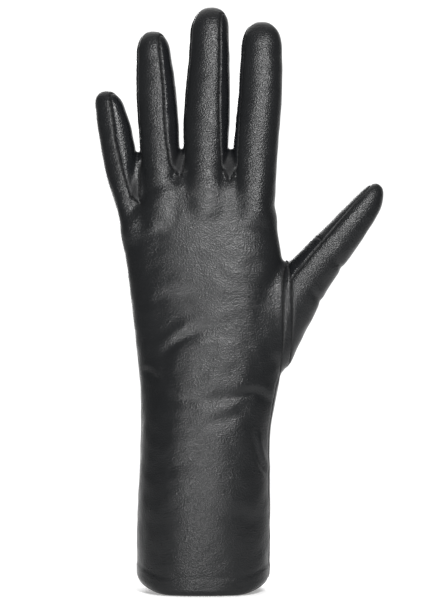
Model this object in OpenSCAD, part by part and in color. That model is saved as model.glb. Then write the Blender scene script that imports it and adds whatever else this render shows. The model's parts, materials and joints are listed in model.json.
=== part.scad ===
// Long leather glove for the left hand, standing on the hem of its cuff.
// +Z points to the fingertips, the back of the hand faces -Y, the palm +Y and the thumb +X.
// The origin is the middle of the cuff's mouth, on the plane that the hem stands on.
// Every panel is a thin shell: a grid of points on its outer face and one on its inner face.

/* [Leather] */
// Thickness of the glove leather
leather_t = 0.8; // [0.6:0.1:1.2]
// Thickness of the lining
lining_t = 0.5; // [0.3:0.1:0.7]
// How square the cross-sections are: 2 is an ellipse
fullness = 2.3; // [2:0.1:2.8]

/* [Cuff] */
// Width at the hem
cuff_w = 69; // [66:1:74]
// Depth at the hem when the cuff stands open
cuff_d = 54; // [48:1:58]
// Height from the hem to the wrist joint
wrist_z = 96; // [92:1:98]
// Height that the hem rises at the two sides
hem_rise = 6; // [0:1:8]
// Height of the turned hem
hem_h = 8; // [6:1:12]

/* [Wrist and palm] */
// Width at the wrist
wrist_w = 67; // [64:1:70]
// Depth at the wrist
wrist_d = 48; // [44:1:50]
// Width at the heel of the hand
heel_w = 79; // [76:1:82]
// Width below the fingers
palm_w = 85; // [83:1:86]
// Depth below the fingers
palm_d = 29; // [27:1:32]

/* [Finger lengths, web to tip] */
// Index finger
index_l = 83; // [78:1:90]
// Middle finger
middle_l = 89; // [84:1:96]
// Ring finger
ring_l = 79; // [74:1:86]
// Little finger
little_l = 58; // [56:1:64]

/* [Finger widths at the web] */
// Index finger
index_w = 25; // [24:0.2:25.4]
// Middle finger
middle_w = 24.4; // [23:0.2:24.6]
// Ring finger
ring_w = 21.4; // [20:0.2:21.6]
// Little finger
little_w = 15.6; // [14.4:0.2:15.8]

/* [Bending, degrees] */
// Wrist towards the palm
wrist_flex = 45; // [20:5:45]
// Wrist towards the back
wrist_extend = 40; // [0:5:40]
// Knuckles towards the palm
knuckle_flex = 70; // [30:5:70]
// Knuckles towards the back
knuckle_extend = 10; // [0:5:10]
// First finger joints
first_flex = 90; // [30:5:90]
// Second finger joints
second_flex = 60; // [20:5:60]
// Thumb across the palm
thumb_flex = 60; // [20:5:60]
// Thumb away from the palm
thumb_extend = 10; // [0:5:10]
// Tip of the thumb towards the index finger
thumb_tip_flex = 60; // [20:5:60]

/* [Hidden] */

black = [0.17, 0.17, 0.17];
strip_black = [0.12, 0.12, 0.13];
tan_lining = [0.42, 0.28, 0.18];

seam_gap = 0.1;      // between two panels of one body
joint_gap = 0.3;     // each side of a joint
skin = leather_t + seam_gap;
lining_gap = 0.3;    // the lining lies loose inside the leather
thumb_lining_gap = 0.6;
hem_flat = 18;       // half the level stretch of the hem, front and back
web_z = 214;         // root of the middle finger
heel_z = 126;
strip_angle = 37;    // half the angle that a fourchette covers on its finger
seam_angle = 0.6;    // keeps a fourchette clear of the strips beside it
finger_gap = 0.5;
finger_depth = 0.72; // of the width
tip_round = 0.55;    // length of a finger's rounded end, of its width there
web_sag = 1.2;

// Knuckle line: its height at x = 0, and how much it climbs towards the index finger
knuckle_z = 187.3;
knuckle_slope = 0.155;
knuckle_ease = 1.02; // widens the gap, because the line leans

// Outline of the body by height
half_width = [[0, cuff_w / 2], [wrist_z - 13, wrist_w / 2], [wrist_z + 9, wrist_w / 2 + 2],
              [heel_z, heel_w / 2], [160, heel_w / 2 + 1], [192, palm_w / 2 - 1.5], [205, palm_w / 2]];
half_depth = [[0, cuff_d / 2], [wrist_z - 46, cuff_d / 2 - 0.5], [wrist_z, wrist_d / 2 - 0.7],
              [heel_z, palm_d / 2 + 5.5], [165, palm_d / 2 + 2], [205, palm_d / 2]];
middle_x = [[0, -1], [wrist_z - 13, 0], [wrist_z + 9, 2.5], [heel_z, 3.5],
            [142, 2.5], [176, -1.5], [192, -4], [205, -5.5]];

// Fingers from the little one to the index finger:
// name, root x, root z, lean, length, width at the web and the tip, first and second joint,
// height of the web on the left and on the right
ring_x = -(middle_w + ring_w) / 2 - finger_gap;
index_x = (middle_w + index_w) / 2 + finger_gap;
little_x = ring_x - (ring_w + little_w) / 2 + 0.2;
fingers = [
    ["little", little_x, web_z - 13, -10, little_l, little_w, 14.6, 20, 38, 197, 201],
    ["ring", ring_x, web_z - 2, -3.4, ring_l, ring_w, 18, 27, 53, 201, 214.5],
    ["middle", 0, web_z, 2.3, middle_l, middle_w, 20.5, 30, 59, 214.5, 213],
    ["index", index_x, web_z - 1, 3, index_l, index_w, 21, 28, 55, 213, 206]
];

// Thumb sections: upper edge x, z, lower edge x, z, half depth
thumb_pivot = [43, 4];
thumb_lean = 33;
thumb_rings = [
    [44, 169, 44, 114, 14], [47, 174, 51.5, 132, 13.5], [50, 177.5, 59, 147, 12.5],
    [54, 181, 67, 160.5, 11.3], [60.5, 187, 77, 176, 10.2], [69, 195.5, 84, 186, 9.2],
    [76.5, 202.5, 89, 195, 8], [82, 207, 91.3, 202.5, 5.5], [87, 209.6, 88, 209, 0.6]
];
thumb_joint_ring = 4;
quirk_angle = 22;    // half the angle of the small gusset on the thumb's upper edge

// The thumb hole in the palm panel: its rows of height, and its last column's angle
side_seam_angle = -15;
hole_rows = [112, 126, 141, 156, 170];
hole_end_angle = 45;
palm_columns = 13;

function mix(a, b, v) = a + (b - a) * v;
function bow(v) = sign(v) * pow(abs(v), 2 / fullness);
function even(z, table) = (lookup(z - 8, table) + 2 * lookup(z, table) + lookup(z + 8, table)) / 4;

// How far a joint's edge stands back from the joint, at a distance from its axis on the bending side
function clearance(off, flex, extend) =
    joint_gap + max(0, off) * tan(flex / 2) + max(0, -off) * tan(extend / 2);

// ---- body of the glove: angle 0 is the thumb side, 90 the palm, 180 the little finger side ----

function body_pt(u, z, inset) =
    [even(z, middle_x) + (even(z, half_width) - inset) * bow(cos(u)),
     (even(z, half_depth) - inset) * bow(sin(u)), z];

function hem_z(p) = hem_rise * pow(max(0, abs(p[0]) - hem_flat) / (cuff_w / 2 - hem_flat), 2);
function wrist_cut(p, side) = wrist_z + side * clearance(p[1], wrist_flex, wrist_extend);
function knuckle_cut(p, side) =
    knuckle_z + knuckle_slope * p[0] + side * clearance(p[1], knuckle_flex, knuckle_extend) * knuckle_ease;

// Rows from low(p) to high(p), with the rows of height between them
function body_grid(from, to, columns, between, inset, low, high) =
    [for (i = [0 : len(between) + 1]) [for (j = [0 : columns])
        let(u = mix(from, to, j / columns),
            foot = body_pt(u, low([0, 0, 0]), inset),
            head = body_pt(u, high([0, 0, 0]), inset),
            z = i == 0 ? low(foot) : i > len(between) ? high(head) : between[i - 1])
        body_pt(u, z, inset)]];

// A ring of columns without the repeated last one
function closed(grid) = [for (row = grid) [for (j = [0 : len(row) - 2]) row[j]]];

// ---- shells ----

// A shell between an outer and an inner grid. Cells where keep is false are left open.
// ring joins the last column to the first, and capped closes the last row.
module shell(outer, inner, keep = function(i, j) true, ring = false, capped = false) {
    n = len(outer[0]);
    rows = len(outer) - 1;
    columns = ring ? n : n - 1;
    size = n * len(outer);
    at = function(i, j) i * n + (j % n);
    has = function(i, j) i >= 0 && i < rows && (ring || (j >= 0 && j < columns))
        && keep(i, (j + columns) % columns);
    wall = function(p, q) [[p, q, q + size], [p, q + size, p + size]];
    faces = [for (i = [0 : rows - 1]) for (j = [0 : columns - 1]) if (has(i, j))
        let(a = at(i, j), b = at(i, j + 1), c = at(i + 1, j + 1), d = at(i + 1, j),
            top = capped && i == rows - 1)
        each concat([[a, d, c], [a, c, b], [a + size, b + size, c + size], [a + size, c + size, d + size]],
            has(i - 1, j) ? [] : wall(a, b), has(i, j + 1) ? [] : wall(b, c),
            has(i + 1, j) || top ? [] : wall(c, d), has(i, j - 1) ? [] : wall(d, a))];
    caps = capped ? [[for (j = [n - 1 : -1 : 0]) at(rows, j)], [for (j = [0 : n - 1]) at(rows, j) + size]] : [];
    polyhedron(points = [each each outer, each each inner], faces = concat(faces, caps));
}

// ---- cuff ----

cuff_rows = [hem_h + 2, 26, 44, 62, 80];

module cuff_part(from, to, columns, inset, thick, low, high, between, ring = false) {
    outer = body_grid(from, to, columns, between, inset, low, high);
    inner = body_grid(from, to, columns, between, inset + thick, low, high);
    shell(ring ? closed(outer) : outer, ring ? closed(inner) : inner, ring = ring);
}

module cuff_back() {
    color(black)
    cuff_part(180 + seam_angle / 4, 360 - seam_angle / 4, 14, 0, leather_t,
        function(p) hem_z(p), function(p) wrist_cut(p, -1), cuff_rows);
}

module cuff_palm() {
    color(black)
    cuff_part(seam_angle / 4, 180 - seam_angle / 4, 14, 0, leather_t,
        function(p) hem_z(p), function(p) wrist_cut(p, -1), cuff_rows);
}

// The leather turned up inside the mouth of the cuff
module cuff_hem() {
    color(black)
    cuff_part(0, 360, 28, skin, leather_t,
        function(p) hem_z(p), function(p) hem_z(p) + hem_h, [], ring = true);
}

module cuff_lining() {
    color(tan_lining)
    cuff_part(0, 360, 28, 2 * skin + lining_gap, lining_t,
        function(p) hem_z(p) + hem_h / 4, function(p) wrist_cut(p, -1), cuff_rows, ring = true);
}

// ---- hand ----

module hand_part(from, to, columns, inset, thick, keep, ring = false) {
    low = function(p) wrist_cut(p, 1);
    high = function(p) knuckle_cut(p, -1);
    outer = body_grid(from, to, columns, hole_rows, inset, low, high);
    inner = body_grid(from, to, columns, hole_rows, inset + thick, low, high);
    shell(ring ? closed(outer) : outer, ring ? closed(inner) : inner, keep, ring);
}

hole_columns = (hole_end_angle - side_seam_angle) / (180 - side_seam_angle) * palm_columns;

module hand_back() {
    color(black)
    hand_part(180 + seam_angle / 4, 360 + side_seam_angle - seam_angle / 4, 11, 0, leather_t,
        function(i, j) true);
}

// The palm panel wraps round the thumb side to the seam on the back, with the thumb hole cut in it
module hand_palm() {
    color(black)
    hand_part(side_seam_angle, 180 - seam_angle / 4, palm_columns, 0, leather_t,
        function(i, j) i == 0 || i >= len(hole_rows) || j >= hole_columns);
}

module hand_lining() {
    color(tan_lining)
    hand_part(side_seam_angle, 360 + side_seam_angle, 24, skin + lining_gap, lining_t,
        function(i, j) i == 0 || i >= len(hole_rows) || j >= hole_columns, ring = true);
}

// ---- fingers: angle 0 is the thumb side, 90 the palm; s runs from the root to the tip ----

function f_name(f) = fingers[f][0];
function f_root(f) = [fingers[f][1], 0, fingers[f][2]];
function f_lean(f) = fingers[f][3];
function f_len(f) = fingers[f][4];
function f_joint(f, k) = fingers[f][7 + k];
function f_half(f, s) = mix(fingers[f][5], fingers[f][6], max(0, s) / f_len(f)) / 2;
function f_tip(f) = fingers[f][6] * tip_round;

// Narrowing of the rounded tip, from 1 to 0
function f_round(f, s, inset) =
    let(start = f_len(f) - inset - f_tip(f))
    s <= start ? 1 : sqrt(max(0, 1 - pow((s - start) / f_tip(f), 2)));

function f_side(f, s, inset) = (f_half(f, s) - inset) * f_round(f, s, inset);
function f_deep(f, s, inset) = (f_half(f, s) * finger_depth - inset) * f_round(f, s, inset);

function finger_pt(f, t, s, inset) =
    let(lean = f_lean(f), out = f_side(f, s, inset) * bow(cos(t)))
    f_root(f) + s * [sin(lean), 0, cos(lean)] + out * [cos(lean), 0, -sin(lean)]
    + [0, f_deep(f, s, inset) * bow(sin(t)), 0];

// Where the finger leaves the web, at each angle
function web_s(f, t) =
    let(z = mix(fingers[f][9], fingers[f][10], (1 + cos(t)) / 2), lean = f_lean(f))
    (z - f_root(f)[2] + f_half(f, 0) * bow(cos(t)) * sin(lean)) / cos(lean);

// Edge of a segment at joint k (0 first, 1 second)
function joint_s(f, k, t, side, inset) =
    let(s = f_joint(f, k)) s + side * clearance(f_deep(f, s, inset) * bow(sin(t)), [first_flex, second_flex][k], 0);

function mid_s(f, t, v, inset) = mix(joint_s(f, 0, t, 1, inset), joint_s(f, 1, t, -1, inset), v);

tip_steps = [0, 28, 52, 72, 86];
function tip_s(f, t, i, inset) =
    i == 0 ? joint_s(f, 1, t, 1, inset) : f_len(f) - inset - f_tip(f) * (1 - sin(tip_steps[i - 1]));

function mid_grid(f, from, to, columns, inset) =
    [for (i = [0 : 2]) [for (j = [0 : columns])
        let(t = mix(from, to, j / columns)) finger_pt(f, t, mid_s(f, t, i / 2, inset), inset)]];

function tip_grid(f, from, to, columns, inset) =
    [for (i = [0 : len(tip_steps)]) [for (j = [0 : columns])
        let(t = mix(from, to, j / columns)) finger_pt(f, t, tip_s(f, t, i, inset), inset)]];

module finger_panel(f, segment, from, to, columns) {
    a = from + seam_angle;
    b = to - seam_angle;
    if (segment == "mid")
        shell(mid_grid(f, a, b, columns, 0), mid_grid(f, a, b, columns, leather_t));
    else
        shell(tip_grid(f, a, b, columns, 0), tip_grid(f, a, b, columns, leather_t));
}

module finger_lining(f, segment) {
    outside = skin + lining_gap;
    inside = outside + lining_t;
    if (segment == "mid")
        shell(closed(mid_grid(f, 0, 360, 14, outside)), closed(mid_grid(f, 0, 360, 14, inside)), ring = true);
    else
        shell(closed(tip_grid(f, 0, 360, 14, outside)), closed(tip_grid(f, 0, 360, 14, inside)),
            ring = true, capped = true);
}

// The little finger has no fourchette on its left, nor the index finger on its right
first_finger = 0;
last_finger = len(fingers) - 1;
function left_angle(f) = f == first_finger ? 0 : strip_angle;
function right_angle(f) = f == last_finger ? 0 : strip_angle;

function finger_parts(f) = concat(["back", "palm", "lining"],
    f == first_finger ? [] : ["fourchette_left"], f == last_finger ? [] : ["fourchette_right"]);

module finger_piece(f, segment, part) {
    if (part == "back")
        color(black) finger_panel(f, segment, 180 + left_angle(f), 360 - right_angle(f), 6);
    if (part == "palm")
        color(black) finger_panel(f, segment, right_angle(f), 180 - left_angle(f), 6);
    if (part == "fourchette_left")
        color(strip_black) finger_panel(f, segment, 180 - strip_angle, 180 + strip_angle, 4);
    if (part == "fourchette_right")
        color(strip_black) finger_panel(f, segment, -strip_angle, strip_angle, 4);
    if (part == "lining")
        color(tan_lining) finger_lining(f, segment);
}

// ---- knuckles: the panels from the knuckle line to the webs, and on to the first finger joints ----

finger_columns = 4;
web_rows = 4;
root_rows = 3;
left_end = finger_pt(first_finger, 180, web_s(first_finger, 180), 0)[0];
right_end = finger_pt(last_finger, 0, web_s(last_finger, 0), 0)[0];

// Angle on the body that lies under a point at the webs; side is -1 on the back and 1 on the palm
function under(x, side) =
    let(q = max(-1, min(1, 2 * (x - left_end) / (right_end - left_end) - 1)),
        u = acos(sign(q) * pow(abs(q), fullness / 2)))
    side > 0 ? u : 360 - u;

function knuckle_pt(f, t, i, side, inset) =
    let(s0 = web_s(f, t), web = finger_pt(f, t, s0, inset), u = under(finger_pt(f, t, s0, 0)[0], side),
        near = body_pt(u, knuckle_z, inset), foot = body_pt(u, knuckle_cut(near, 1), inset))
    i <= web_rows ? mix(foot, web, i / web_rows)
    : finger_pt(f, t, mix(s0, joint_s(f, 0, t, -1, inset), (i - web_rows) / root_rows), inset);

// Columns run round the glove: little to index finger on the back, index to little on the palm
function knuckle_grid(side, inset) =
    let(order = side < 0 ? [0 : last_finger] : [last_finger : -1 : 0])
    [for (i = [0 : web_rows + root_rows]) [for (f = order) for (j = [0 : finger_columns])
        let(from = side < 0 ? 180 + left_angle(f) : right_angle(f),
            to = side < 0 ? 360 - right_angle(f) : 180 - left_angle(f),
            t = mix(from + seam_angle / 2, to - seam_angle / 2, j / finger_columns))
        knuckle_pt(f, t, i, side, inset)]];

// Between two fingers the panel ends at the web
module knuckle_panel(side, inset, thick) {
    shell(knuckle_grid(side, inset), knuckle_grid(side, inset + thick),
        function(i, j) i < web_rows || j % (finger_columns + 1) != finger_columns);
}

module knuckle_back() {
    color(black) knuckle_panel(-1, 0, leather_t);
}

module knuckle_palm() {
    color(black) knuckle_panel(1, 0, leather_t);
}

// Two sheets, sewn to the side seams
module knuckle_lining() {
    color(tan_lining) {
        knuckle_panel(-1, skin + lining_gap, lining_t);
        knuckle_panel(1, skin + lining_gap, lining_t);
    }
}

// The forked fourchette between finger f and the next: down one finger, round the web, up the other
fork_columns = 4;
fork_turn = 0.5;
function fork_leg(f, middle, turn, inset) =
    [for (i = [0 : root_rows]) [for (j = [0 : fork_columns])
        let(t = middle + turn * mix(strip_angle - seam_angle, seam_angle - strip_angle, j / fork_columns))
        finger_pt(f, t, mix(web_s(f, t) + fork_turn, joint_s(f, 0, t, -1, inset), i / root_rows), inset)]];

function fork_grid(f, inset) =
    let(left = fork_leg(f, 0, 1, inset), right = fork_leg(f + 1, 180, -1, inset),
        web = [for (j = [0 : fork_columns]) mix(left[0][j], right[0][j], 0.5)
            - [0, 0, fork_turn + inset + web_sag * sin(180 * j / fork_columns)]])
    concat([for (i = [root_rows : -1 : 0]) left[i]], [web], right);

module fork(f) {
    color(strip_black) shell(fork_grid(f, 0), fork_grid(f, leather_t));
}

module fork_ring_little() {
    fork(0);
}

module fork_middle_ring() {
    fork(1);
}

module fork_index_middle() {
    fork(2);
}

// ---- thumb: angle 0 is its lower edge, 90 the palm, 180 its upper edge ----

thumb_dir = [sin(thumb_lean), 0, cos(thumb_lean)];

function ring_pt(r, t, inset) =
    let(upper = [thumb_rings[r][0], 0, thumb_rings[r][1]], lower = [thumb_rings[r][2], 0, thumb_rings[r][3]],
        half = norm(lower - upper) / 2, way = (lower - upper) / (2 * half))
    (upper + lower) / 2 + way * max(0.2, half - inset) * bow(cos(t))
    + [0, max(0.2, thumb_rings[r][4] - inset) * bow(sin(t)), 0];

// Edges of the two thumb pieces at the tip joint
function thumb_cut(t, side, inset) =
    let(p = ring_pt(thumb_joint_ring, t, inset), q = ring_pt(thumb_joint_ring, 90, inset),
        off = norm([p[0] - q[0], p[2] - q[2]]) * -sign(cos(t)))
    p + side * clearance(off, thumb_tip_flex, 0) * thumb_dir;

function thumb_pt(r, t, side, inset) =
    let(p = ring_pt(r, t, inset))
    r == 0 ? [thumb_pivot[0] + clearance(p[1] - thumb_pivot[1], thumb_flex, thumb_extend), p[1], p[2]]
    : r == thumb_joint_ring ? thumb_cut(t, side, inset)
    : r == len(thumb_rings) - 1 ? p - inset * thumb_dir : p;

function thumb_grid(first, last, side, from, to, columns, inset) =
    [for (r = [first : last]) [for (j = [0 : columns])
        thumb_pt(r, mix(from, to, j / columns), side, inset)]];

module thumb_panel(tip, from, to, columns) {
    a = from + seam_angle;
    b = to - seam_angle;
    first = tip ? thumb_joint_ring : 0;
    last = tip ? len(thumb_rings) - 1 : thumb_joint_ring;
    side = tip ? 1 : -1;
    shell(thumb_grid(first, last, side, a, b, columns, 0),
        thumb_grid(first, last, side, a, b, columns, leather_t));
}

module thumb_base_outer() {
    color(black) thumb_panel(false, 180 + quirk_angle, 360, 8);
}

module thumb_base_inner() {
    color(black) thumb_panel(false, 0, 180 - quirk_angle, 8);
}

// The small gusset that lets the thumb swing, sewn in at the crotch
module thumb_gusset() {
    color(strip_black) thumb_panel(false, 180 - quirk_angle, 180 + quirk_angle, 3);
}

module thumb_tip_outer() {
    color(black) thumb_panel(true, 180, 360, 8);
}

module thumb_tip_inner() {
    color(black) thumb_panel(true, 0, 180, 8);
}

module thumb_sleeve(first, last, side, capped) {
    outside = skin + thumb_lining_gap;
    color(tan_lining)
    shell(closed(thumb_grid(first, last, side, 0, 360, 16, outside)),
        closed(thumb_grid(first, last, side, 0, 360, 16, outside + lining_t)), ring = true, capped = capped);
}

module thumb_base_lining() {
    thumb_sleeve(0, thumb_joint_ring, -1, false);
}

module thumb_tip_lining() {
    thumb_sleeve(thumb_joint_ring, len(thumb_rings) - 1, 1, true);
}

function piece_name(f, segment, part) = str(f_name(f), "_", segment, "_", part);

cuff_back();
cuff_palm();
cuff_hem();
cuff_lining();
hand_back();
hand_palm();
hand_lining();
knuckle_back();
knuckle_palm();
knuckle_lining();
fork_ring_little();
fork_middle_ring();
fork_index_middle();
thumb_base_outer();
thumb_base_inner();
thumb_gusset();
thumb_base_lining();
thumb_tip_outer();
thumb_tip_inner();
thumb_tip_lining();
for (f = [0 : last_finger], segment = ["mid", "tip"], part = finger_parts(f))
    finger_piece(f, segment, part);
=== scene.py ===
"""A long black leather glove for the left hand, standing on the hem of its cuff.

Sizes are in millimetres until a mesh is made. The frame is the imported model's: +Z towards the
fingertips, the back of the hand towards -Y and the thumb towards +X.
"""

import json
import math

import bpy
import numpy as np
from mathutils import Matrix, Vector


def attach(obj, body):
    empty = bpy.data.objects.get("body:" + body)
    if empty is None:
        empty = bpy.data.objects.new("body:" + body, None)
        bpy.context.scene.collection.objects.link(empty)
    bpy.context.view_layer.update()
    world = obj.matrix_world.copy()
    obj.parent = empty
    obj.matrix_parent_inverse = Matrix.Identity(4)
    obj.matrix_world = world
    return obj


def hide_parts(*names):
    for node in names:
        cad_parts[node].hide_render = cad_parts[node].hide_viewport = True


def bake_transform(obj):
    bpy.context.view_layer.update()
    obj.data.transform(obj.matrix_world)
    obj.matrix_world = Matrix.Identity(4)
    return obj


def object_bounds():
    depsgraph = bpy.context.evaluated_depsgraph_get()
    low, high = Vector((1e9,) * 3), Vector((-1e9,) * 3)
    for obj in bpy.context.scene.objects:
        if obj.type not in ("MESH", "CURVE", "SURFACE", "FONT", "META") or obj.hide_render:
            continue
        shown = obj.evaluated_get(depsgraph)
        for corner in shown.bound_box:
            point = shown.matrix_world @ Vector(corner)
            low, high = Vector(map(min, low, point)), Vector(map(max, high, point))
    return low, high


bl_info = {
    "name": "Leather Glove",
    "version": (1, 0, 0),
    "blender": (4, 5, 0),
    "location": "3D View > Sidebar > Glove",
    "description": "Builds a long sewn leather glove with its lining, hem and stitching",
    "category": "Add Mesh",
}

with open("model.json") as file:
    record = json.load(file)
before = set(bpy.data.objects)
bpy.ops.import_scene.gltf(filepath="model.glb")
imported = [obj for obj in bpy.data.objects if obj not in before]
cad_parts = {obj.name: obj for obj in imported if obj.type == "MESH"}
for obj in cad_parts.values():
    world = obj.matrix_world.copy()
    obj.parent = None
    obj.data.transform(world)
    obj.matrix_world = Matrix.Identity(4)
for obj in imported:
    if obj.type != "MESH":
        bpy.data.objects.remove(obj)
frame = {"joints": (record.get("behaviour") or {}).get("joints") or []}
CAD_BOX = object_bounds()
MM = 0.001
JOINTS = {joint["name"]: joint for joint in frame["joints"]}


# ---- small sums on arrays ----

def mix(a, b, amount):
    return a + (b - a) * amount


def smooth(t):
    t = np.clip(t, 0, 1)
    return t * t * (3 - 2 * t)


def unit(v):
    return v / np.maximum(np.linalg.norm(v, axis=-1, keepdims=True), 1e-12)


def eased(z, heights, values, reach):
    """A table read with its corners rounded off over reach."""
    total = 0
    for share, weight in ((-1, 1), (-0.5, 2), (0, 2), (0.5, 2), (1, 1)):
        total = total + weight * np.interp(z + share * reach, heights, values)
    return total / 8


def soft_min(a, b, reach):
    h = np.clip(0.5 + 0.5 * (b - a) / reach, 0, 1)
    return mix(b, a, h) - reach * h * (1 - h)


def soft_max(a, b, reach):
    return -soft_min(-a, -b, reach)


# ---- the shape of the hand inside the glove ----

class Loft:
    """A run of rounded sections: rows of height, middle x, half width, half depth, middle y."""

    def __init__(self, rows, reach, top=None, cap=10, bottom=None, fullness=2.3):
        self.heights, self.x, self.w, self.d, self.y = np.array(rows, float).T
        self.reach, self.top, self.cap, self.bottom, self.fullness = reach, top, cap, bottom, fullness

    def section(self, z):
        return [eased(z, self.heights, v, self.reach) for v in (self.x, self.w, self.d, self.y)]

    def distance(self, x, y, z):
        """About how far a point is outside the surface; negative inside."""
        cx, w, d, cy = self.section(z)
        n = self.fullness
        over = np.zeros_like(z)
        if self.top is not None:
            over = np.maximum(over, (z - self.top + self.cap) / self.cap)
        if self.bottom is not None:
            over = np.maximum(over, (self.bottom + self.cap - z) / self.cap)
        u, v = np.abs(x - cx) / w, np.abs(y - cy) / d
        rho = np.maximum((u ** n + v ** n + over ** n) ** (1 / n), 1e-6)
        slope = np.sqrt((u ** (n - 1) / w) ** 2 + (v ** (n - 1) / d) ** 2 + (over ** (n - 1) / self.cap) ** 2)
        slope = np.maximum(slope / rho ** (n - 1), 0.5 / w)
        return (rho - 1) / slope


# height, middle x, half width, half depth, middle y
TRUNK = Loft([
    (-8, -1.0, 34.4, 27.0, 0), (0, -1.0, 34.4, 27.0, 0), (47, -0.5, 34.3, 26.4, 0),
    (83, 0.3, 33.6, 24.4, 0), (105, 2.3, 35.6, 21.8, 0), (126, 2.8, 38.2, 19.8, 0),
    (142, 1.8, 39.2, 18.2, 0), (159, 0.8, 40.2, 16.8, 0), (170, -0.4, 40.8, 15.8, 0),
    (184, -2.6, 40.6, 14.2, 0), (192, -3.9, 41.0, 13.2, 0), (200, -4.8, 41.9, 12.1, 0),
    (208, -5.5, 42.7, 11.0, 0), (216, -5.7, 42.9, 10.0, 0),
], 6)
# The upper edge of the trunk, from which the fingers rise
TRUNK_TOP_X = (-50, -42, -34, -24, -13, 0, 13, 25, 38)
TRUNK_TOP_Z = (184, 191, 199.5, 207, 213.5, 213.5, 212, 208, 196)

FINGER_NAMES = ("little", "ring", "middle", "index")
FINGERS = [
    Loft([(176, -35.0, 5.5, 7.5, 0), (190, -38.2, 6.0, 8.4, 0), (204, -41.1, 6.7, 8.3, 0),
          (215, -43.2, 8.2, 7.8, 0), (228, -44.9, 9.0, 7.6, 0), (241, -47.2, 8.8, 7.2, 0),
          (250, -49.2, 7.7, 6.6, 0),
          (260, -51.6, 7.0, 6.2, 0)], 4, top=259.6, cap=9.5, bottom=176),
    Loft([(186, -23.2, 9.8, 13.2, 0), (196, -23.2, 9.8, 12.2, 0), (206, -23.2, 10.1, 10.7, 0),
          (220, -23.1, 10.3, 9.3, 0), (241, -24.2, 10.6, 8.9, 0),
          (255, -25.2, 10.6, 8.6, 0), (268, -26.0, 10.0, 8.2, 0), (279, -26.9, 8.9, 7.6, 0),
          (291, -27.2, 8.2, 7.2, 0)], 4, top=291.2, cap=12, bottom=182),
    Loft([(192, 0.0, 11.3, 13.2, 0), (202, 0.0, 11.3, 12.0, 0), (213, 0.0, 11.5, 10.7, 0),
          (227, 0.2, 11.7, 9.8, 0), (244, 0.7, 12.2, 9.5, 0),
          (262, 1.4, 11.6, 9.2, 0), (279, 2.1, 10.6, 8.7, 0), (291, 2.2, 10.2, 8.3, 0),
          (304, 3.4, 9.8, 8.0, 0)], 4, top=304, cap=13.5, bottom=186),
    Loft([(190, 24.9, 11.0, 13.2, 0), (200, 24.9, 11.2, 12.0, 0), (211, 25.3, 11.6, 10.8, 0),
          (227, 25.9, 11.8, 9.8, 0), (241, 27.1, 11.8, 9.5, 0), (258, 28.6, 11.5, 9.2, 0),
          (272, 29.1, 11.2, 8.9, 0), (281, 29.3, 10.8, 8.6, 0),
          (296, 29.6, 10.2, 8.2, 0)], 4, top=296.2, cap=14, bottom=184),
]
WEBS = ((-34.4, 199.8), (-13.2, 213.3), (12.6, 212.3))         # x and z of each web, seen from the back
ARCHES = (28.0, 16.0, 17.0)            # how much higher each web is inside than on the back and the palm
ARCH_DEPTH = 8.5
ARCH_HALF_WIDTH = 3

THUMB_ROOT = np.array((44.0, 0.0, 141.5))
THUMB_LEAN = math.radians(40)
THUMB = Loft([
    (-26, -2.0, 19.0, 13.0, 2.5), (-18, -3.5, 19.2, 14.2, 2.5), (-5, -5.0, 17.0, 14.2, 2.2),
    (9, -6.0, 15.0, 13.4, 1.8), (22, -6.9, 12.7, 12.2, 1.2), (36, -6.8, 11.1, 10.8, 0.6),
    (48, -6.5, 10.0, 9.7, 0.2), (59, -6.7, 9.0, 8.8, 0), (68, -6.7, 8.0, 8.0, 0), (76, -7.2, 6.6, 7.2, 0),
    (84, -8.6, 5.2, 6.4, 0),
], 5, top=83, cap=12, bottom=-28)


def in_thumb(p):
    """Across and along the thumb, from the middle of its root."""
    q = p - THUMB_ROOT
    sin, cos = math.sin(THUMB_LEAN), math.cos(THUMB_LEAN)
    return q[:, 0] * cos - q[:, 2] * sin, q[:, 0] * sin + q[:, 2] * cos


FAR = 60.0                             # stands for any place too far away to measure
# Reach over which one shape is rounded into the next
BETWEEN_FINGERS, TO_WEBS, TRUNK_END, TO_THUMB, TO_FINGERS = 0.8, 1.2, 8, 5, 4
# Where each shape is near enough to count
FINGER_NEAR, WEB_NEAR, TRUNK_BELOW, THUMB_RIGHT_OF, THUMB_ABOVE = 24, 12, 226, 8, 95
CURL_FROM, CURL_TO, CURL = 218.0, 303.0, 5.5


def curl(z):
    """How far the fingers lean towards the palm."""
    return CURL * (np.maximum(0, z - CURL_FROM) / (CURL_TO - CURL_FROM)) ** 2


def web_distance(k, x, y, z):
    """The web between finger k and the next one: an arch from the back to the palm."""
    left, right = FINGERS[k].section(z), FINGERS[k + 1].section(z)
    middle = (left[0] + left[1] + right[0] - right[1]) / 2
    top = WEBS[k][1] + ARCHES[k] * (1 - (np.abs(y) / ARCH_DEPTH) ** 2)
    slope = 2 * ARCHES[k] * np.abs(y) / ARCH_DEPTH ** 2
    return np.maximum(np.maximum(np.abs(x - middle) - ARCH_HALF_WIDTH, np.abs(y) - ARCH_DEPTH + 1),
                      (z - top) / np.sqrt(1 + slope ** 2))


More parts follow.
